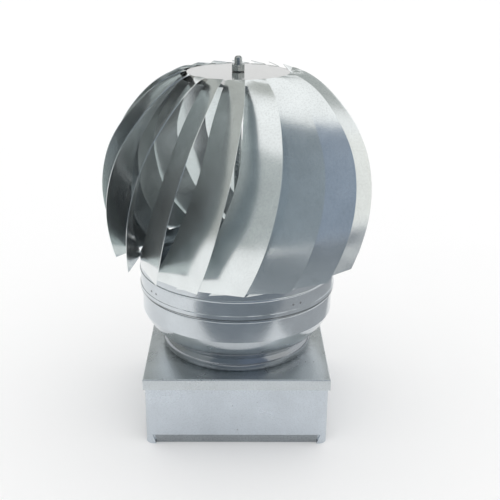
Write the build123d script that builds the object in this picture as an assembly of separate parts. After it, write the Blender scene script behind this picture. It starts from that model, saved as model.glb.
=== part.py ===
"""Roof turbine ventilator with a 150 mm throat, in millimetres, +Z up.

A square skirt and cap plate carry a neck and a shallow drum. A ball-bearing
housing on two star brackets inside them carries a shaft, and the shaft turns
a globe of eighteen curved blades between a cap and a ring.
The origin is the centre of the skirt's lower opening, and -Y is the front.
"""
from build123d import *
import os
from math import acos, cos, degrees, radians, sin, tan

# ---- Sheet metal and fits ----
SHEET = 0.8                # skirt, plate, neck and drum
RING_SHEET = 0.7           # rotor ring
BLADE_SHEET = 0.5          # blades
SEAT = 0.05                # gap left between pieces that are assembled face to face
RUN = 0.04                 # radial running clearance of balls in their grooves

# ---- Square base ----
PLATE_SIDE = 200.0
PLATE_TOP = 80.0           # height of the plate's upper face
PLATE_HEM = 12.6           # depth of the plate's folded edge
PLATE_BEND = 1.2           # outer bend radius at the plate's edges
HEM_CLEARANCE = 0.55       # between the folded edge and the skirt
SKIRT_CORNER = 8.5         # outer bend radius of the skirt's upright corners
RECESS_HEIGHT = 11.0       # band pressed inwards along each lower edge
RECESS_STEP = 1.0          # depth of its step at the top
RECESS_DEPTH = 3.0         # its depth at the skirt's lower edge
RECESS_END = 7.0           # plain length left between a band's top and the corner
RECESS_TAPER = 4.0         # how much more is left at the lower edge

# ---- Neck ----
THROAT_R = 75.0            # clear radius of the throat
SPIGOT_DROP = 15.0         # how far the neck reaches below the plate's top
BEAD_PROUD = 9.2           # how far the round bead stands out from the neck
BEAD_HEIGHT = 17.0
BEAD_FOOT_IN = 2.5         # the bead's round starts this far inside its widest
BEAD_CROWN_IN = 4.5        # and ends this far inside it, under the drum
COLLAR_RISE = 7.0          # short collar above the bead, inside the drum's mouth

# ---- Drum ----
DRUM_R = 106.5
DRUM_WALL = 32.5           # height of the upright wall
DRUM_BEAD_DROP = 9.5       # stiffening bead below the wall's top
DRUM_BEAD_R = 1.0          # half height of that bead
DRUM_BEAD_PROUD = 0.7
SHOULDER_RISE = 30.0       # height of the shoulder between bead and wall
SHOULDER_SAG = 2.6         # how far the shoulder bulges from a straight cone
SHOULDER_IN = 2.0          # the shoulder starts this far inside the neck's bead

# ---- Rotor ----
BLADE_COUNT = 18
RING_GAP = 1.3             # running gap between the drum and the rotor ring
RING_LAP = 6.5             # how far the ring reaches down over the drum
RING_HEIGHT = 34.0
RING_HEM = 5.0             # height of the doubled lower edge
RING_HEM_PROUD = 0.5
RING_BEAD_DROP = 13.0      # stiffening bead below the ring's top
RING_BEAD_R = 1.5
RING_BEAD_PROUD = 0.8
CAP_R = 53.7               # flat part of the cap
CAP_TOP = 308.3            # height above the plate
CAP_FLANGE = 8.0           # sloping length of the cap's turned-down rim
CAP_FLANGE_ANGLE = 45.0
CAP_SHEET = 1.0
BELLY_OUT = 37.5           # widest reach of the blades beyond the ring
CROWN_OUT = 6.3            # outer top corners of the blades, beyond the cap's flat
CROWN_RISE = 1.6           # how far those corners stand above the cap
TIP_RISE = 12.0            # outer bottom corners above the inner ones
BLADE_LAP = 7.0            # inner bottom corners below the ring's top

# Each blade edge runs through stations from top to bottom. A station is a share
# of the edge's height, a share of its spread in radius, and an azimuth in degrees
# from the front, anticlockwise seen from above.
OUTER_EDGE = [
    (0.00, 0.00, 26.5),
    (0.03, 0.18, 25.0),
    (0.10, 0.41, 23.5),
    (0.23, 0.68, 20.5),
    (0.40, 0.90, 17.5),
    (0.61, 1.00, 13.5),
    (0.81, 0.975, 9.0),
    (1.00, 0.87, 3.0),
]
INNER_EDGE = [
    (0.00, 0.00, 7.0),
    (0.03, 0.10, 6.2),
    (0.10, 0.32, 4.6),
    (0.22, 0.61, 2.8),
    (0.39, 0.88, 0.5),
    (0.57, 0.975, -5.5),
    (0.76, 1.00, -14.5),
]
FOOT_SPREAD = 0.88         # share of the spread at the inner edge's lower end
FOOT_PAST = 2.2            # degrees that end lies past the lower edge's tangent point

# ---- Shaft, nuts and washers ----
SHAFT_R = 4.0
SHAFT_ROUND = 3.0          # rounding of the upper end
SHAFT_ABOVE_CAP = 16.0
SHAFT_BELOW = 5.0          # shaft left below the lowest nut
NUT_FLATS = 13.0
NUT_HEIGHT = 6.4
NUT_CHAMFER = 0.5
LOCK_WASHER_R = 6.3
LOCK_WASHER = 1.0
WASHER_R = 12.0
WASHER = 1.6
SLEEVE_R = 5.7             # spacer sleeves on the shaft

# ---- Ball bearings ----
RACE_R = 11.0              # outer radius of the outer race
RACE_WIDTH = 7.0
PITCH_R = 7.5
RACE_SHOULDER = 1.3        # from the pitch circle to each race
BALL_R = 1.985
BALL_COUNT = 7
CAGE_WALL = 1.4
CAGE_HEIGHT = 5.0

# ---- Bearing housing ----
HOUSING_WALL = 3.0
HOUSING_LIP = 1.6          # housing left beyond each retaining ring
HOUSING_SHOULDER = 1.5     # step that the outer races rest on
HOUSING_BOTTOM = 4.0       # height above the plate
HOUSING_GAP = 2.0          # between the housing and the turning nut above it
CIRCLIP = 1.0
CIRCLIP_DEPTH = 0.6        # groove depth in the housing
CIRCLIP_WALL = 2.0
CIRCLIP_GAP = 40.0         # open angle of a retaining ring, degrees

# ---- Star brackets and rotor brace ----
ARM_WIDTH = 18.0
ARM_SHEET = 2.0
STAR_HUB_R = 24.0
STAR_ARMS = 3
STAR_FOOT = 10.0           # height of the feet against the wall
STAR_TURN = 90.0           # direction of the first arm, degrees from +X
LOWER_STAR = 10.0          # height of the neck's star above the plate
UPPER_STAR_RISE = 11.0     # the drum's star above the foot of the drum's wall
BRACE_ARMS = 4
BRACE_TURN = -55.0         # direction of the first arm, degrees from +X
BRACE_HUB_R = 20.0
BRACE_RISE = 8.5           # the brace above the ring's lower edge
BRACE_FOOT = 8.0

# ---- Derived places ----
FULL = 360                 # degrees in a turn
STANDING = Align.CENTER, Align.CENTER, Align.MIN
HANGING = Align.CENTER, Align.CENTER, Align.MAX
PITCH = FULL / BLADE_COUNT
NECK_R = THROAT_R + SHEET
SKIRT_SIDE = PLATE_SIDE - 2 * (SHEET + HEM_CLEARANCE)
BEAD_R = NECK_R + BEAD_PROUD
DRUM_BEND = BEAD_HEIGHT + SHOULDER_RISE    # heights above the plate
DRUM_TOP = DRUM_BEND + DRUM_WALL
UPPER_STAR = DRUM_BEND + UPPER_STAR_RISE
RING_BOTTOM = DRUM_TOP - RING_LAP
RING_TOP = RING_BOTTOM + RING_HEIGHT
BLADE_FOOT = RING_TOP - BLADE_LAP
RING_BORE = DRUM_R + RING_GAP
RING_R = RING_BORE + RING_SHEET
BELLY_R = RING_R + BELLY_OUT
HOUSING_R = RACE_R + HOUSING_WALL
BORE_R = SHAFT_R + SEAT    # bore of everything threaded or slid on the shaft
BRACE_Z = PLATE_TOP + RING_BOTTOM + BRACE_RISE    # heights in the part's frame
BRACE_NUT = BRACE_Z - WASHER - NUT_HEIGHT - 2 * SEAT
CLIP_ROOM = HOUSING_LIP + CIRCLIP + 2 * SEAT
BEARING_LOW = PLATE_TOP + HOUSING_BOTTOM + CLIP_ROOM
HOUSING_HIGH = BRACE_NUT - HOUSING_GAP
BEARING_HIGH = HOUSING_HIGH - CLIP_ROOM - RACE_WIDTH
SHAFT_TOP = PLATE_TOP + CAP_TOP + SHAFT_ABOVE_CAP
LOCKNUT_TOP = BEARING_LOW - WASHER - 2 * SEAT
SHAFT_BOTTOM = LOCKNUT_TOP - NUT_HEIGHT - SHAFT_BELOW


def on_plate(height):
    """Height in the part's frame of a height given above the plate."""
    return PLATE_TOP + height


def ring_solid(outer_r, inner_r, bottom, height):
    """Plain ring around the shaft's axis."""
    ring = Cylinder(outer_r, height, align=STANDING)
    bore = Cylinder(inner_r, 3 * height)
    return Pos(0, 0, bottom) * (ring - bore)


def spun_sheet(path, thickness, side):
    """Sheet of revolution whose one face follows the path given in the XZ plane."""
    outline = offset(path, amount=thickness, side=side, closed=True)
    return revolve(Plane.XZ * make_face(outline), Axis.Z)


def bump(radius, middle, half_height, proud):
    """Outward bead in an upright wall, as three points of an arc."""
    start = (radius, middle - half_height)
    crest = (radius + proud, middle)
    end = (radius, middle + half_height)
    return start, crest, end


# ---- Square base ----
def recess_section(growth):
    """Section of a pressed band, from outside the front face to its depth."""
    front = -SKIRT_SIDE / 2
    step_z = RECESS_HEIGHT - RECESS_STEP
    lean = (RECESS_DEPTH - RECESS_STEP) / step_z
    low = -RECESS_HEIGHT
    outside = front - RECESS_HEIGHT
    corners = [
        (outside, RECESS_HEIGHT),
        (front, RECESS_HEIGHT),
        (front + RECESS_STEP, step_z),
        (front + RECESS_DEPTH - lean * low, low),
        (outside, low),
    ]
    return offset(make_face(Polyline(corners, close=True)), growth, kind=Kind.INTERSECTION)


def recess_outline(growth):
    """Front view of a pressed band, narrower towards the lower edge."""
    foot = SKIRT_SIDE / 2 - RECESS_END - RECESS_TAPER
    high = 2 * RECESS_HEIGHT
    spread = 2 * RECESS_TAPER
    corners = [
        (foot - spread, -high),
        (foot + spread, high),
        (-foot - spread, high),
        (spread - foot, -high),
    ]
    return offset(make_face(Polyline(corners, close=True)), growth, kind=Kind.INTERSECTION)


def skirt_form(side, bottom, top, corner, growth):
    """Filled skirt shape with the four pressed bands taken off."""
    height = top - bottom
    form = Pos(0, 0, bottom) * Box(side, side, height, align=STANDING)
    form = fillet(form.edges().filter_by(Axis.Z), corner)
    long_band = extrude(Plane.YZ * recess_section(growth), PLATE_SIDE, both=True)
    band = long_band & extrude(Plane.XZ * recess_outline(growth), PLATE_SIDE)
    for turn in range(0, FULL, 90):
        form -= Rot(0, 0, turn) * band
    return form


def mounting_skirt():
    """Square sleeve that drops over the curb or flue."""
    top = PLATE_TOP - SHEET
    outside = skirt_form(SKIRT_SIDE, 0, top, SKIRT_CORNER, 0)
    inner_side = SKIRT_SIDE - 2 * SHEET
    inside = skirt_form(inner_side, -SHEET, top + SHEET, SKIRT_CORNER - SHEET, SHEET)
    return outside - inside


def cap_plate():
    """Square plate with folded edges and a round hole for the neck."""
    block = Pos(0, 0, PLATE_TOP) * Box(PLATE_SIDE, PLATE_SIDE, PLATE_HEM, align=HANGING)
    rim = block.faces().sort_by(Axis.Z)[-1].edges()
    block = fillet(rim, PLATE_BEND)
    room_side = PLATE_SIDE - 2 * SHEET
    room = Pos(0, 0, PLATE_TOP - SHEET) * Box(room_side, room_side, PLATE_HEM, align=HANGING)
    hole = Pos(0, 0, PLATE_TOP) * Cylinder(NECK_R + SEAT, PLATE_HEM)
    return block - room - hole


def neck_collar():
    """Round neck with a bead that stands on the plate and carries the drum."""
    foot = on_plate(SEAT)
    crown = on_plate(BEAD_HEIGHT)
    bottom = on_plate(-SPIGOT_DROP)
    middle = on_plate(BEAD_HEIGHT / 2)
    foot_r = BEAD_R - BEAD_FOOT_IN
    crown_r = BEAD_R - BEAD_CROWN_IN
    path = Line((NECK_R, bottom), (NECK_R, foot))
    path += Line((NECK_R, foot), (foot_r, foot))
    path += ThreePointArc((foot_r, foot), (BEAD_R, middle), (crown_r, crown))
    path += Line((crown_r, crown), (NECK_R, crown))
    path += Line((NECK_R, crown), (NECK_R, crown + COLLAR_RISE))
    return spun_sheet(path, SHEET, Side.LEFT)


# ---- Drum ----
def fixed_drum():
    """Shallow drum: mouth flange, rounded shoulder, upright wall with a bead."""
    floor = on_plate(BEAD_HEIGHT) + SEAT
    bend = on_plate(DRUM_BEND)
    mouth_r = NECK_R + SEAT
    foot_r = BEAD_R - SHOULDER_IN
    bead = on_plate(DRUM_TOP - DRUM_BEAD_DROP)
    low, crest, high = bump(DRUM_R, bead, DRUM_BEAD_R, DRUM_BEAD_PROUD)
    path = Line((mouth_r, floor), (foot_r, floor))
    path += SagittaArc((foot_r, floor), (DRUM_R, bend), -SHOULDER_SAG)
    path += Line((DRUM_R, bend), low)
    path += ThreePointArc(low, crest, high)
    path += Line(high, (DRUM_R, on_plate(DRUM_TOP)))
    return spun_sheet(path, SHEET, Side.LEFT)


# ---- Brackets ----
def arms(count, turn, reach):
    """Flat arms that run out from the axis, as one outline."""
    outline = Sketch()
    for index in range(count):
        arm = Rectangle(reach, ARM_WIDTH, align=(Align.MIN, Align.CENTER))
        outline += Rot(0, 0, turn + index * FULL / count) * arm
    return outline


def spider(count, turn, hub_r, bore_r, wall_r, bottom, foot):
    """Flat hub and arms with their ends turned along a round wall."""
    reach = wall_r - SEAT
    disc = Circle(reach)
    flat = (Circle(hub_r) + (arms(count, turn, 2 * reach) & disc)) - Circle(bore_r)
    web = extrude(Pos(0, 0, bottom) * flat, ARM_SHEET)
    rim = disc - Circle(reach - ARM_SHEET)
    feet = extrude(Pos(0, 0, bottom) * (arms(count, turn, 2 * reach) & rim), foot)
    return web + feet


def lower_star():
    """Bracket in the neck."""
    height = on_plate(LOWER_STAR)
    return spider(STAR_ARMS, STAR_TURN, STAR_HUB_R, HOUSING_R + SEAT, THROAT_R, height, STAR_FOOT)


def upper_star():
    """Bracket in the drum."""
    height = on_plate(UPPER_STAR)
    return spider(STAR_ARMS, STAR_TURN, STAR_HUB_R, HOUSING_R + SEAT, DRUM_R - SHEET, height, STAR_FOOT)


def rotor_brace():
    """Cross that ties the rotor ring to the shaft, feet turned up inside the ring."""
    return spider(BRACE_ARMS, BRACE_TURN, BRACE_HUB_R, BORE_R, RING_BORE, BRACE_Z, BRACE_FOOT)


# ---- Bearing housing and bearings ----
def bearing_housing():
    """Tube with a seat, a shoulder and a retaining-ring groove at each end."""
    bottom = on_plate(HOUSING_BOTTOM)
    tube = ring_solid(HOUSING_R, RACE_R - HOUSING_SHOULDER, bottom, HOUSING_HIGH - bottom)
    seat_length = HOUSING_LIP + CIRCLIP + RACE_WIDTH + 3 * SEAT
    seat = Cylinder(RACE_R + SEAT / 2, seat_length, align=STANDING)
    tube -= Pos(0, 0, bottom) * seat
    tube -= Pos(0, 0, HOUSING_HIGH - seat_length) * seat
    groove = Cylinder(RACE_R + CIRCLIP_DEPTH, CIRCLIP + SEAT, align=STANDING)
    tube -= Pos(0, 0, bottom + HOUSING_LIP) * groove
    tube -= Pos(0, 0, HOUSING_HIGH - HOUSING_LIP - CIRCLIP - SEAT) * groove
    return tube


def retaining_ring(bottom):
    """Open spring ring in the housing's groove."""
    outer_r = RACE_R + CIRCLIP_DEPTH - SEAT
    ring = ring_solid(outer_r, outer_r - CIRCLIP_WALL - CIRCLIP_DEPTH, bottom, CIRCLIP)
    wedge_x = outer_r * 2
    wedge_y = wedge_x * tan(radians(CIRCLIP_GAP / 2))
    wedge = Polyline((0, 0), (wedge_x, -wedge_y), (wedge_x, wedge_y), close=True)
    return ring - extrude(Pos(0, 0, bottom - CIRCLIP) * make_face(wedge), 3 * CIRCLIP)


def ball_groove(bottom):
    """Ring-shaped room that the balls roll in."""
    return Pos(0, 0, bottom + RACE_WIDTH / 2) * Torus(PITCH_R, BALL_R + RUN)


def outer_race(bottom):
    """Outer race of a bearing, fixed in the housing."""
    bore_r = PITCH_R + RACE_SHOULDER
    return ring_solid(RACE_R, bore_r, bottom, RACE_WIDTH) - ball_groove(bottom)


def inner_race(bottom):
    """Inner race of a bearing, turning with the shaft."""
    outer_r = PITCH_R - RACE_SHOULDER
    return ring_solid(outer_r, SHAFT_R + SEAT / 2, bottom, RACE_WIDTH) - ball_groove(bottom)


def balls(bottom):
    """The loose balls of a bearing."""
    ball = Pos(PITCH_R, 0, bottom + RACE_WIDTH / 2) * Sphere(BALL_R)
    turns = [index * FULL / BALL_COUNT for index in range(BALL_COUNT)]
    return Compound(children=[Rot(0, 0, turn) * ball for turn in turns])


def ball_cage(bottom):
    """Ring with a pocket for each ball."""
    low = bottom + (RACE_WIDTH - CAGE_HEIGHT) / 2
    cage = ring_solid(PITCH_R + CAGE_WALL / 2, PITCH_R - CAGE_WALL / 2, low, CAGE_HEIGHT)
    middle = bottom + RACE_WIDTH / 2
    pocket = Pos(PITCH_R, 0, middle) * Cylinder(BALL_R + RUN, PITCH_R, rotation=(0, 90, 0))
    for index in range(BALL_COUNT):
        cage -= Rot(0, 0, index * FULL / BALL_COUNT) * pocket
    return cage


# ---- Shaft and what is on it ----
def rotor_shaft():
    """Straight shaft with a rounded upper end."""
    shaft = Pos(0, 0, SHAFT_BOTTOM) * Cylinder(SHAFT_R, SHAFT_TOP - SHAFT_BOTTOM, align=STANDING)
    top_edge = shaft.edges().filter_by(GeomType.CIRCLE).sort_by(Axis.Z)[-1]
    return fillet(top_edge, SHAFT_ROUND)


def hex_nut(bottom):
    """Hexagon nut with one corner towards the front and turned corners."""
    prism = extrude(RegularPolygon(NUT_FLATS / 2, 6, major_radius=False, rotation=30), NUT_HEIGHT)
    corner_r = NUT_FLATS / 2 / cos(radians(30))
    blank = Cylinder(corner_r, NUT_HEIGHT, align=STANDING)
    rims = blank.edges().filter_by(GeomType.CIRCLE)
    turned = chamfer(rims, NUT_CHAMFER)
    return Pos(0, 0, bottom) * ((prism & turned) - Cylinder(BORE_R, 3 * NUT_HEIGHT))


def washer(bottom):
    """Flat washer on the shaft."""
    return ring_solid(WASHER_R, BORE_R, bottom, WASHER)


def sleeve(bottom, top):
    """Spacer sleeve on the shaft."""
    return ring_solid(SLEEVE_R, BORE_R, bottom, top - bottom)


# ---- Rotor shell ----
def top_cap():
    """Flat cap with a sloping rim that the blades are joined to."""
    top = on_plate(CAP_TOP)
    flange_r = CAP_R + CAP_FLANGE * cos(radians(CAP_FLANGE_ANGLE))
    flange_z = top - CAP_FLANGE * sin(radians(CAP_FLANGE_ANGLE))
    path = Line((BORE_R, top), (CAP_R, top)) + Line((CAP_R, top), (flange_r, flange_z))
    return spun_sheet(path, CAP_SHEET, Side.RIGHT)


def rotor_ring():
    """Upright ring at the foot of the blades, with a hem and a stiffening bead."""
    hem_r = RING_R + RING_HEM_PROUD
    bottom = on_plate(RING_BOTTOM)
    hem_top = bottom + RING_HEM
    wall_foot = (RING_R, hem_top + RING_HEM_PROUD)
    bead = on_plate(RING_TOP - RING_BEAD_DROP)
    low, crest, high = bump(RING_R, bead, RING_BEAD_R, RING_BEAD_PROUD)
    path = Line((hem_r, bottom), (hem_r, hem_top)) + Line((hem_r, hem_top), wall_foot)
    path += Line(wall_foot, low) + ThreePointArc(low, crest, high)
    path += Line(high, (RING_R, on_plate(RING_TOP)))
    return spun_sheet(path, RING_SHEET, Side.LEFT)


def blade_edge(stations, top, foot, top_r, widest_r):
    """Smooth edge of a blade through its stations."""
    points = []
    for drop, spread, azimuth in stations:
        radius = top_r + spread * (widest_r - top_r)
        angle = radians(azimuth)
        height = on_plate(top + drop * (foot - top))
        points.append((radius * sin(angle), -radius * cos(angle), height))
    steps = [index / (len(points) - 1) for index in range(len(points))]
    return Edge.make_spline(points, parameters=steps)


def rotor_blade():
    """One curved blade: a ruled sheet between its outer and inner edges."""
    foot_r = RING_R + 3 * SEAT
    top_r = CAP_R + 3 * SEAT
    widest_r = top_r + (foot_r - top_r) / FOOT_SPREAD
    crown_r = CAP_R + CROWN_OUT
    tip_share, tip_azimuth = OUTER_EDGE[-1][1:]
    tip_r = crown_r + tip_share * (BELLY_R - crown_r)
    foot_azimuth = tip_azimuth - degrees(acos(foot_r / tip_r)) - FOOT_PAST
    inner_edge = INNER_EDGE + [(1.0, FOOT_SPREAD, foot_azimuth)]
    outer = blade_edge(OUTER_EDGE, CAP_TOP + CROWN_RISE, BLADE_FOOT + TIP_RISE, crown_r, BELLY_R)
    inner = blade_edge(inner_edge, CAP_TOP + 3 * SEAT, BLADE_FOOT, top_r, widest_r)
    sheet = Face.make_surface_from_curves(inner, outer)
    outward = Vector(0, -1, 0)
    return Solid.thicken(sheet, BLADE_SHEET, outward)


# ---- Assembly ----
def fixed_pieces():
    """Everything that stays still, by name."""
    low_clip = on_plate(HOUSING_BOTTOM) + HOUSING_LIP + SEAT / 2
    high_clip = HOUSING_HIGH - HOUSING_LIP - CIRCLIP - SEAT / 2
    return {
        "mounting_skirt": mounting_skirt(),
        "cap_plate": cap_plate(),
        "neck_collar": neck_collar(),
        "fixed_drum": fixed_drum(),
        "lower_star_bracket": lower_star(),
        "upper_star_bracket": upper_star(),
        "bearing_housing": bearing_housing(),
        "lower_outer_race": outer_race(BEARING_LOW),
        "upper_outer_race": outer_race(BEARING_HIGH),
        "lower_retaining_ring": retaining_ring(low_clip),
        "upper_retaining_ring": retaining_ring(high_clip),
    }


def bearing_pieces():
    """Balls and cages, by name."""
    return {
        "lower_bearing_balls": balls(BEARING_LOW),
        "lower_ball_cage": ball_cage(BEARING_LOW),
        "upper_bearing_balls": balls(BEARING_HIGH),
        "upper_ball_cage": ball_cage(BEARING_HIGH),
    }


def shaft_pieces():
    """Shaft, inner races, sleeves, washers and nuts, by name."""
    cap_top = on_plate(CAP_TOP)
    cap_under = cap_top - CAP_SHEET - SEAT
    brace_low_washer = BRACE_Z - SEAT - WASHER
    brace_high_washer = BRACE_Z + ARM_SHEET + SEAT
    lower_top = BEARING_LOW + RACE_WIDTH
    upper_top = BEARING_HIGH + RACE_WIDTH
    return {
        "rotor_shaft": rotor_shaft(),
        "lower_inner_race": inner_race(BEARING_LOW),
        "upper_inner_race": inner_race(BEARING_HIGH),
        "lower_spacer": sleeve(BEARING_LOW - SEAT - WASHER, BEARING_LOW - SEAT),
        "bearing_spacer": sleeve(lower_top + SEAT, BEARING_HIGH - SEAT),
        "upper_spacer": sleeve(upper_top + SEAT, BRACE_NUT - SEAT),
        "lower_lock_nut": hex_nut(LOCKNUT_TOP - NUT_HEIGHT),
        "brace_lower_nut": hex_nut(BRACE_NUT),
        "brace_lower_washer": washer(brace_low_washer),
        "brace_upper_washer": washer(brace_high_washer),
        "brace_upper_nut": hex_nut(brace_high_washer + WASHER + SEAT),
        "cap_lower_nut": hex_nut(cap_under - WASHER - SEAT - NUT_HEIGHT),
        "cap_lower_washer": washer(cap_under - WASHER),
        "cap_lock_washer": ring_solid(LOCK_WASHER_R, BORE_R, cap_top + SEAT, LOCK_WASHER),
        "cap_upper_nut": hex_nut(cap_top + LOCK_WASHER + 2 * SEAT),
    }


def shell_pieces():
    """Cap, ring, brace and blades, by name."""
    pieces = {
        "top_cap": top_cap(),
        "rotor_ring": rotor_ring(),
        "rotor_brace": rotor_brace(),
    }
    blade = rotor_blade()
    for index in range(BLADE_COUNT):
        pieces[f"blade_{index + 1:02d}"] = Rot(0, 0, index * PITCH) * blade
    return pieces


def main():
    """Write one STEP file for each piece."""
    os.makedirs("parts", exist_ok=True)
    pieces = fixed_pieces() | bearing_pieces() | shaft_pieces() | shell_pieces()
    for name, shape in pieces.items():
        export_step(shape, f"parts/{name}.step")


main()
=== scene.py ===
"""Looks of the roof turbine ventilator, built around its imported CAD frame, in metres."""
from math import cos, pi, radians, sin, tan

import bmesh
import bpy
from mathutils import Matrix, Vector


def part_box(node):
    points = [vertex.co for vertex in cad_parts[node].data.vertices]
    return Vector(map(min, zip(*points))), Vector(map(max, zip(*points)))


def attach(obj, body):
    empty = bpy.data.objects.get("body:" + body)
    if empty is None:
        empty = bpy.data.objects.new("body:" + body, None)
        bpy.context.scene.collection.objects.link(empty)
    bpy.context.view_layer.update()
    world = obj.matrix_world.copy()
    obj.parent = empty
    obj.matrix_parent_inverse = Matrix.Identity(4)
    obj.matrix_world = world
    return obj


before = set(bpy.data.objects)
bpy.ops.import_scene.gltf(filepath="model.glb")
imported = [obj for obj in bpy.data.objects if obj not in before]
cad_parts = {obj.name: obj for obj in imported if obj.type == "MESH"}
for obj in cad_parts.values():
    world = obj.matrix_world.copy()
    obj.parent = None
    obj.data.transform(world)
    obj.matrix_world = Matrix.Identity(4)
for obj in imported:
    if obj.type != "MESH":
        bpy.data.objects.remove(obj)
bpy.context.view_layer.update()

# ---- Camera, solved from the square plate, the round rims and the shaft ----
IMAGE = 500                       # pixels on each side
FOCAL_PIXELS = 870.5
SENSOR = 36.0                     # millimetres
CAMERA_AT = (0.0, -0.910, 0.544)
CAMERA_PITCH = 21.31              # degrees down
CAMERA_YAW = 0.89                 # degrees to the right
CAMERA_ROLL = 0.59                # degrees

# ---- Sizes read from the frame ----
BRACE_LOW, BRACE_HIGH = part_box("rotor_brace")
BEAD_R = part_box("neck_collar")[1][0]
RING_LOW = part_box("rotor_ring")[0][2]
SKIRT_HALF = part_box("mounting_skirt")[1][0]

# ---- Spot welds ----
WELD_R = 0.0013
WELD_PROUD = 0.0002
WELD_RINGS = [(1.0, 0.0), (0.75, 1.0), (0.4, 0.35)]    # shares of the radius and the rise
WELD_STEPS = 20                   # points round each ring
WELD_DROP = 0.0015                # below the middle of the brace
WELD_PITCH = 0.0095               # between the two welds of a brace foot
WELD_ARMS = 4
WELD_TURN = -55.0                 # first brace arm, degrees from +X
RING_WALL_R = 0.1085              # outer radius of the ring's plain wall

# ---- Noise in every metal ----
TONE_RANGE = (0.35, 0.65)         # part of the noise that the colour follows
ROUGH_RANGE = (0.3, 0.7)          # part that the roughness follows

# ---- Sheet metal; texture scales are in cycles per metre ----
SHEET_METAL = 0.94                # the rest is the dull oxide on galvanised sheet
CLOUD_SCALE = 22.0
CLOUD_DETAIL = 3.0
CLOUD_DARK = 0.93                 # share of the colour in the darkest clouds
CLOUD_LIGHT = 1.05                # and in the lightest
CLOUD_SMOOTH = 0.88               # share of the roughness in the smoothest clouds
CLOUD_ROUGH = 1.15                # and in the roughest
GRAIN_SCALE = 650.0
GRAIN_DETAIL = 1.0
GRAIN_MARKS = (0.45, 0.75)        # part of the grain that darkens the sheet
GRAIN_STRENGTH = 0.10
GRAIN_DEPTH = 0.0002
SPECK_CELLS = 95.0                # places for a speck, per metre
SPECK_R = 0.0006
STAIN_AND_SHADE = (0.16, 0.17, 0.17)        # colour of grain marks, specks, painted shade and the darkening round the neck

# ---- Bar and turned metal ----
BAR_SCALE = 700.0
BAR_DETAIL = 2.0
BAR_DARK = 0.82                   # share of the colour in the darkest grain
BAR_SMOOTH = 0.8                  # share of the roughness in the smoothest grain
BAR_ROUGH = 1.25                  # and in the roughest
BAR_RELIEF = 0.1
BAR_DEPTH = 0.0001

# ---- Shading of the skirt's pressed bands ----
BAND_TOP = 0.0125
BAND_SUNK = 0.0005                # sheet further in than this is pressed
BAND_END = 0.010                  # kept clear of the skirt's corners
# how strongly the painted shade darkens the pressed bands
BAND_SHADE_AMOUNT = 0.55

# ---- Painted shadow line at the foot of the rotor ring ----
FOOT_SHADOW_FULL = 0.0008                 # fully dark up to this height above the foot
FOOT_SHADOW_NONE = 0.0016                 # and plain from here on
FOOT_SHADOW_DARK = 0.85

# ---- Patchy darkening of the plate round the neck ----
NECK_DARK_IN = 0.002                   # darkest this far inside the bead's widest
NECK_DARK_OUT = 0.009                  # and gone this far outside it
NECK_DARK_AMOUNT = 0.35
NECK_DARK_SCALE = 160.0
NECK_DARK_DETAIL = 3.0
NECK_DARK_PATCHES = (0.4, 0.62)        # part of the noise that makes the patches

# ---- Studio ----
FLOOR_SIDE = 30.0
FLOOR_GREY = 0.98
FLOOR_ROUGHNESS = 0.9
WORLD_STRENGTH = 1.04
CARD_DISTANCE = 2.0               # from the axis to a standing card's upright edges
CARD_EYE = 0.2                    # height from which a card's elevations are counted
CARD_LOWEST = 0.001               # a standing card stays this far above the floor
CARD_LYING = 0.002                # height of the cards that lie on the floor

# Upright cards: azimuths from the front to the right and elevations, in degrees, and colour.
STANDING_CARDS = [
    ("card_front_left", -38, 4, -10, 54, (0.21, 0.255, 0.295)),
    ("card_front_right", 4, 45, -10, 48, (0.245, 0.30, 0.385)),
    ("card_left", -85, -38, -10, 34, (0.44, 0.47, 0.47)),
    ("card_far_left", -155, -85, -10, 72, (0.46, 0.47, 0.445)),
    ("card_right", 48, 85, -10, 30, (0.92, 0.91, 0.88)),
    ("card_far_right", 85, 150, 25, 60, (0.42, 0.44, 0.43)),
    ("card_back", 155, 205, 18, 50, (0.34, 0.355, 0.34)),
]

# Cards on the floor: two opposite corners and colour.
FLOOR_CARDS = [
    ("card_floor", (-0.33, -1.6), (0.34, -0.315), (0.20, 0.23, 0.26)),
    ("card_floor_right", (0.27, -0.315), (0.60, 0.5), (0.44, 0.455, 0.47)),
    ("card_floor_far_right", (0.34, -1.6), (1.3, -0.315), (0.17, 0.195, 0.23)),
]


# ---- Objects ----
def add_object(name, data):
    """Object in the scene from its data."""
    made = bpy.data.objects.new(name, data)
    bpy.context.scene.collection.objects.link(made)
    return made


def mesh_from(name, build):
    """Mesh from a function that fills a bmesh."""
    form = bmesh.new()
    build(form)
    mesh = bpy.data.meshes.new(name)
    form.to_mesh(mesh)
    form.free()
    return mesh


# ---- Camera ----
def make_camera():
    """The camera at the reference viewing angle."""
    data = bpy.data.cameras.new("camera")
    data.sensor_width = SENSOR
    data.lens = FOCAL_PIXELS / IMAGE * SENSOR
    camera = add_object("camera", data)
    pitch = radians(CAMERA_PITCH)
    yaw = radians(CAMERA_YAW)
    roll = radians(CAMERA_ROLL)
    ahead = Vector((sin(yaw) * cos(pitch), cos(yaw) * cos(pitch), -sin(pitch)))
    level = Vector((cos(yaw), -sin(yaw), 0))
    above = level.cross(ahead)
    right = cos(roll) * level + sin(roll) * above
    up = cos(roll) * above - sin(roll) * level
    turn = Matrix((right, up, -ahead)).transposed().to_4x4()
    camera.matrix_world = Matrix.Translation(CAMERA_AT) @ turn
    bpy.context.scene.camera = camera


# ---- Node helpers ----
def empty_tree(owner):
    """The cleared node tree of a material or a world."""
    owner.use_nodes = True
    owner.node_tree.nodes.clear()
    return owner.node_tree


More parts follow.
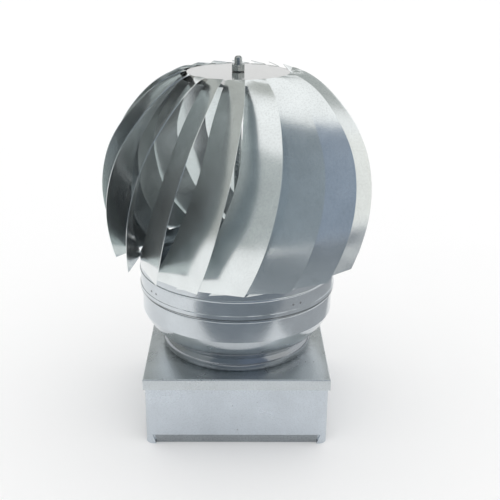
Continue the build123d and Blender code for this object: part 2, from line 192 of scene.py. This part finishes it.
def add_node(tree, kind, **settings):
    """Add a node, setting its properties and, by name, its sockets."""
    made = tree.nodes.new("ShaderNode" + kind)
    for key, value in settings.items():
        if hasattr(made, key):
            setattr(made, key, value)
        else:
            made.inputs[key.replace("_", " ")].default_value = value
    return made


def add_output(tree, kind, result):
    """Link a result to a new output node's surface."""
    output = add_node(tree, kind)
    tree.links.new(result, output.inputs["Surface"])


def new_material(name, **shader_settings):
    """A material with one principled shader: its tree and the shader."""
    material = bpy.data.materials.new(name)
    tree = empty_tree(material)
    shader = add_node(tree, "BsdfPrincipled", **shader_settings)
    add_output(tree, "OutputMaterial", shader.outputs["BSDF"])
    return material, tree, shader


def noise(tree, place, scale, detail):
    """Noise in the part's own coordinates, scale in cycles per metre."""
    made = add_node(tree, "TexNoise", Scale=scale, Detail=detail, Roughness=0.5)
    tree.links.new(place, made.inputs["Vector"])
    return made.outputs["Fac"]


def remap(tree, value, low, high, to_low, to_high):
    """Value mapped from one range to another and clamped."""
    made = add_node(
        tree, "MapRange", From_Min=low, From_Max=high, To_Min=to_low, To_Max=to_high
    )
    tree.links.new(value, made.inputs["Value"])
    return made.outputs["Result"]


def calculate(tree, operation, *values):
    """Arithmetic on one or two sockets, or on a socket and a number."""
    made = add_node(tree, "Math", operation=operation)
    for socket, value in zip(made.inputs, values):
        if isinstance(value, float):
            socket.default_value = value
        else:
            tree.links.new(value, socket)
    return made.outputs["Value"]


def axes(tree, place):
    """The sockets X, Y and Z of a place."""
    split = add_node(tree, "SeparateXYZ")
    tree.links.new(place, split.inputs["Vector"])
    return split.outputs


def mix(tree, amount, first, second):
    """Colour from first to second by an amount from 0 to 1; each is a socket or a colour."""
    made = add_node(tree, "Mix", data_type="RGBA")
    tree.links.new(amount, made.inputs["Factor"])
    sockets = [socket for socket in made.inputs if socket.type == "RGBA"]
    for socket, color in zip(sockets, (first, second)):
        if isinstance(color, tuple):
            socket.default_value = (*color, 1)
        else:
            tree.links.new(color, socket)
    return [socket for socket in made.outputs if socket.type == "RGBA"][0]


def specks(tree, place, share):
    """1 on sparse round specks and 0 elsewhere."""
    voronoi = add_node(tree, "TexVoronoi", Scale=SPECK_CELLS)
    tree.links.new(place, voronoi.inputs["Vector"])
    near = calculate(tree, "LESS_THAN", voronoi.outputs["Distance"], SPECK_R * SPECK_CELLS)
    split = add_node(tree, "SeparateColor")
    tree.links.new(voronoi.outputs["Color"], split.inputs["Color"])
    chosen = calculate(tree, "LESS_THAN", split.outputs["Red"], share)
    return calculate(tree, "MULTIPLY", near, chosen)


def bump(tree, shader, height, strength, distance):
    """Fine relief on a shader."""
    made = add_node(tree, "Bump", Strength=strength, Distance=distance)
    tree.links.new(height, made.inputs["Height"])
    tree.links.new(made.outputs["Normal"], shader.inputs["Normal"])


def tint(color, share):
    """A colour made darker or lighter."""
    return tuple(share * part for part in color)


# ---- Materials ----
def zinc_sheet(name, color, gloss, grain, speck_share=0.0, darkening=None):
    """Galvanised sheet: cloudy zinc, a sparkling grain and, where asked, dark specks and a
    darkening, which paints shade on some pieces.
    """
    material, tree, shader = new_material(name, Metallic=SHEET_METAL)
    place = add_node(tree, "TexCoord").outputs["Object"]
    cloud = noise(tree, place, CLOUD_SCALE, CLOUD_DETAIL)
    fine = noise(tree, place, GRAIN_SCALE, GRAIN_DETAIL)
    lightness = remap(tree, cloud, *TONE_RANGE, 0.0, 1.0)
    tone = mix(tree, lightness, tint(color, CLOUD_DARK), tint(color, CLOUD_LIGHT))
    mark = remap(tree, fine, *GRAIN_MARKS, 0.0, grain)
    if speck_share:
        mark = calculate(tree, "ADD", mark, specks(tree, place, speck_share))
    # The darkening is painted shade on the skirt's bands and at the ring's foot
    if darkening:
        mark = calculate(tree, "ADD", mark, darkening(tree, place))
    tree.links.new(mix(tree, mark, tone, STAIN_AND_SHADE), shader.inputs["Base Color"])
    rough = remap(tree, cloud, *ROUGH_RANGE, CLOUD_SMOOTH * gloss, CLOUD_ROUGH * gloss)
    tree.links.new(rough, shader.inputs["Roughness"])
    bump(tree, shader, fine, GRAIN_STRENGTH, GRAIN_DEPTH)
    return material


def band_shade(tree, place):
    """Painted shade inside the bands pressed into the skirt."""
    x, y, z = axes(tree, place)
    across = calculate(tree, "ABSOLUTE", x)
    along = calculate(tree, "ABSOLUTE", y)
    wider = calculate(tree, "MAXIMUM", across, along)
    nearer = calculate(tree, "MINIMUM", across, along)
    sunk = calculate(tree, "LESS_THAN", wider, SKIRT_HALF - BAND_SUNK)
    clear = calculate(tree, "LESS_THAN", nearer, SKIRT_HALF - BAND_END)
    low = calculate(tree, "LESS_THAN", z, BAND_TOP)
    inside = calculate(tree, "MULTIPLY", sunk, clear)
    return calculate(tree, "MULTIPLY", inside, calculate(tree, "MULTIPLY", low, BAND_SHADE_AMOUNT))


def ring_foot_shadow(tree, place):
    """Painted shadow line round the foot of the rotor ring, for the shaded gap over the drum."""
    height = axes(tree, place)["Z"]
    return remap(tree, height, RING_LOW + FOOT_SHADOW_FULL, RING_LOW + FOOT_SHADOW_NONE, FOOT_SHADOW_DARK, 0.0)


def neck_foot_darkening(tree, place):
    """Patchy darkening of the plate round the foot of the neck."""
    split = axes(tree, place)
    square = calculate(
        tree,
        "ADD",
        calculate(tree, "POWER", split["X"], 2.0),
        calculate(tree, "POWER", split["Y"], 2.0),
    )
    radius = calculate(tree, "SQRT", square)
    near = remap(tree, radius, BEAD_R - NECK_DARK_IN, BEAD_R + NECK_DARK_OUT, NECK_DARK_AMOUNT, 0.0)
    patchy = remap(tree, noise(tree, place, NECK_DARK_SCALE, NECK_DARK_DETAIL), *NECK_DARK_PATCHES, 0.0, 1.0)
    return calculate(tree, "MULTIPLY", near, patchy)


def plain_metal(name, color, gloss, relief=BAR_RELIEF):
    """Bar or turned metal with a fine grain."""
    material, tree, shader = new_material(name, Metallic=1.0)
    place = add_node(tree, "TexCoord").outputs["Object"]
    fine = noise(tree, place, BAR_SCALE, BAR_DETAIL)
    lightness = remap(tree, fine, *TONE_RANGE, 0.0, 1.0)
    tree.links.new(mix(tree, lightness, tint(color, BAR_DARK), color), shader.inputs["Base Color"])
    rough = remap(tree, fine, *ROUGH_RANGE, BAR_SMOOTH * gloss, BAR_ROUGH * gloss)
    tree.links.new(rough, shader.inputs["Roughness"])
    bump(tree, shader, fine, relief, BAR_DEPTH)
    return material


def assign(material, *names):
    """Give CAD nodes a material."""
    for name in names:
        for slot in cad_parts[name].material_slots:
            slot.material = material


def nodes_like(*words):
    """Names of the CAD nodes that contain one of the words."""
    return [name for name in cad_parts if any(word in name for word in words)]


def finish_sheets():
    """Materials of the galvanised sheet pieces: colour, roughness, grain, specks and darkening,
    with painted shade in the skirt's bands and at the ring's foot.
    """
    drum_zinc = (0.60, 0.64, 0.67)
    # The skirt gets painted shade in its pressed bands
    base = zinc_sheet("zinc_base", (0.62, 0.67, 0.72), 0.25, 0.18, 0.25, band_shade)
    # The plate darkens in patches round the foot of the neck
    plate = zinc_sheet("zinc_plate", (0.63, 0.67, 0.69), 0.28, 0.18, 0.25, neck_foot_darkening)
    assign(base, "mounting_skirt")
    assign(plate, "cap_plate")
    assign(zinc_sheet("zinc_neck", (0.34, 0.365, 0.39), 0.18, 0.12), "neck_collar")
    assign(zinc_sheet("zinc_drum", drum_zinc, 0.16, 0.12, 0.08), "fixed_drum")
    # The ring gets a painted shadow line round its foot
    assign(zinc_sheet("zinc_ring", drum_zinc, 0.16, 0.12, 0.08, ring_foot_shadow), "rotor_ring")
    assign(zinc_sheet("zinc_blade", (0.81, 0.85, 0.85), 0.20, 0.12), *nodes_like("blade"))
    assign(zinc_sheet("zinc_cap", (0.58, 0.585, 0.58), 0.16, 0.08), "top_cap")


def finish_metals():
    """Materials of the brackets, the bearings and everything on the shaft."""
    strip = plain_metal("zinc_strip", (0.60, 0.62, 0.62), 0.34)
    turned = plain_metal("turned_steel", (0.48, 0.49, 0.50), 0.28)
    polished = plain_metal("bearing_steel", (0.74, 0.75, 0.76), 0.10, relief=0.02)
    brass = plain_metal("cage_brass", (0.72, 0.56, 0.28), 0.25)
    spring = plain_metal("spring_steel", (0.10, 0.10, 0.11), 0.32)
    hardware = plain_metal("zinc_hardware", (0.42, 0.45, 0.45), 0.24)
    # Near-black washers; under the top nut this colour also paints the shade line beneath the nut
    washer = plain_metal("washer_steel", (0.10, 0.10, 0.10), 0.35)
    assign(strip, *nodes_like("star_bracket", "rotor_brace"))
    assign(turned, "bearing_housing", *nodes_like("spacer"))
    assign(polished, *nodes_like("race", "balls"))
    assign(brass, *nodes_like("ball_cage"))
    assign(spring, *nodes_like("retaining"))
    assign(hardware, "rotor_shaft", *nodes_like("nut"))
    assign(washer, *nodes_like("washer"))


# ---- Added pieces ----
def weld_dimple(form, place, outward):
    """Low round dimple with a raised rim, lying on a wall."""
    upright = Vector((0, 0, 1))
    across = outward.cross(upright)
    rows = []
    for share, lift in WELD_RINGS:
        row = []
        for index in range(WELD_STEPS):
            angle = 2 * pi * index / WELD_STEPS
            flat = across * cos(angle) + upright * sin(angle)
            point = place + flat * WELD_R * share + outward * WELD_PROUD * lift
            row.append(form.verts.new(point))
        rows.append(row)
    for low, high in zip(rows, rows[1:]):
        for index in range(WELD_STEPS):
            after = (index + 1) % WELD_STEPS
            form.faces.new((low[index], low[after], high[after], high[index]))
    form.faces.new(rows[-1])


def ring_welds(form):
    """Two weld dimples outside each foot of the rotor brace."""
    height = (BRACE_LOW[2] + BRACE_HIGH[2]) / 2 - WELD_DROP
    half_angle = WELD_PITCH / 2 / RING_WALL_R
    for arm in range(WELD_ARMS):
        middle = radians(WELD_TURN) + arm * 2 * pi / WELD_ARMS
        for angle in (middle - half_angle, middle + half_angle):
            outward = Vector((cos(angle), sin(angle), 0))
            place = outward * RING_WALL_R + Vector((0, 0, height))
            weld_dimple(form, place, outward)


def add_welds():
    """Spot welds on the rotor ring."""
    material = plain_metal("weld_mark", (0.30, 0.31, 0.32), 0.4)
    mesh = mesh_from("ring_weld_marks", ring_welds)
    for face in mesh.polygons:
        face.use_smooth = True
    mesh.materials.append(material)
    welds = add_object("ring_weld_marks", mesh)
    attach(welds, "rotor")


# ---- Studio ----
def floor_grid(form):
    """One large square."""
    bmesh.ops.create_grid(form, x_segments=1, y_segments=1, size=FLOOR_SIDE / 2)


def make_floor():
    """Large pale floor."""
    mesh = mesh_from("floor", floor_grid)
    floor = add_object("floor", mesh)
    pale = (FLOOR_GREY, FLOOR_GREY, FLOOR_GREY, 1)
    mesh.materials.append(new_material("floor", Base_Color=pale, Roughness=FLOOR_ROUGHNESS)[0])


def make_world():
    """Soft even light and a white surround."""
    world = bpy.data.worlds.new("studio")
    bpy.context.scene.world = world
    tree = empty_tree(world)
    back = add_node(tree, "Background", Color=(1, 1, 1, 1), Strength=WORLD_STRENGTH)
    add_output(tree, "OutputWorld", back.outputs["Background"])


def emitting_card(name, corners, color):
    """Studio card that only reflections see."""
    mesh = bpy.data.meshes.new(name)
    mesh.from_pydata(corners, [], [range(len(corners))])
    card = add_object(name, mesh)
    material = bpy.data.materials.new(name)
    tree = empty_tree(material)
    glow = add_node(tree, "Emission", Color=(*color, 1), Strength=1.0)
    add_output(tree, "OutputMaterial", glow.outputs["Emission"])
    mesh.materials.append(material)
    card.visible_camera = False
    card.visible_diffuse = False
    card.visible_shadow = False


def card_height(elevation):
    """Height of an elevation at the distance of the standing cards, kept off the floor."""
    return max(CARD_EYE + CARD_DISTANCE * tan(radians(elevation)), CARD_LOWEST)


def standing_card(name, start, end, low, high, color):
    """Upright card between two azimuths and two elevations."""
    foot = []
    for azimuth in (start, end):
        angle = radians(azimuth)
        foot.append((CARD_DISTANCE * sin(angle), -CARD_DISTANCE * cos(angle)))
    bottom = [(x, y, card_height(low)) for x, y in foot]
    top = [(x, y, card_height(high)) for x, y in reversed(foot)]
    emitting_card(name, bottom + top, color)


def floor_card(name, low, high, color):
    """Card lying on the floor between two corners."""
    (x0, y0), (x1, y1) = low, high
    corners = [(x, y, CARD_LYING) for x, y in ((x0, y0), (x1, y0), (x1, y1), (x0, y1))]
    emitting_card(name, corners, color)


def make_cards():
    """Cards that give the metal something to reflect."""
    for card in STANDING_CARDS:
        standing_card(*card)
    for card in FLOOR_CARDS:
        floor_card(*card)


make_camera()
finish_sheets()
finish_metals()
add_welds()
make_floor()
make_world()
make_cards()
bpy.context.scene.view_settings.view_transform = "Standard"
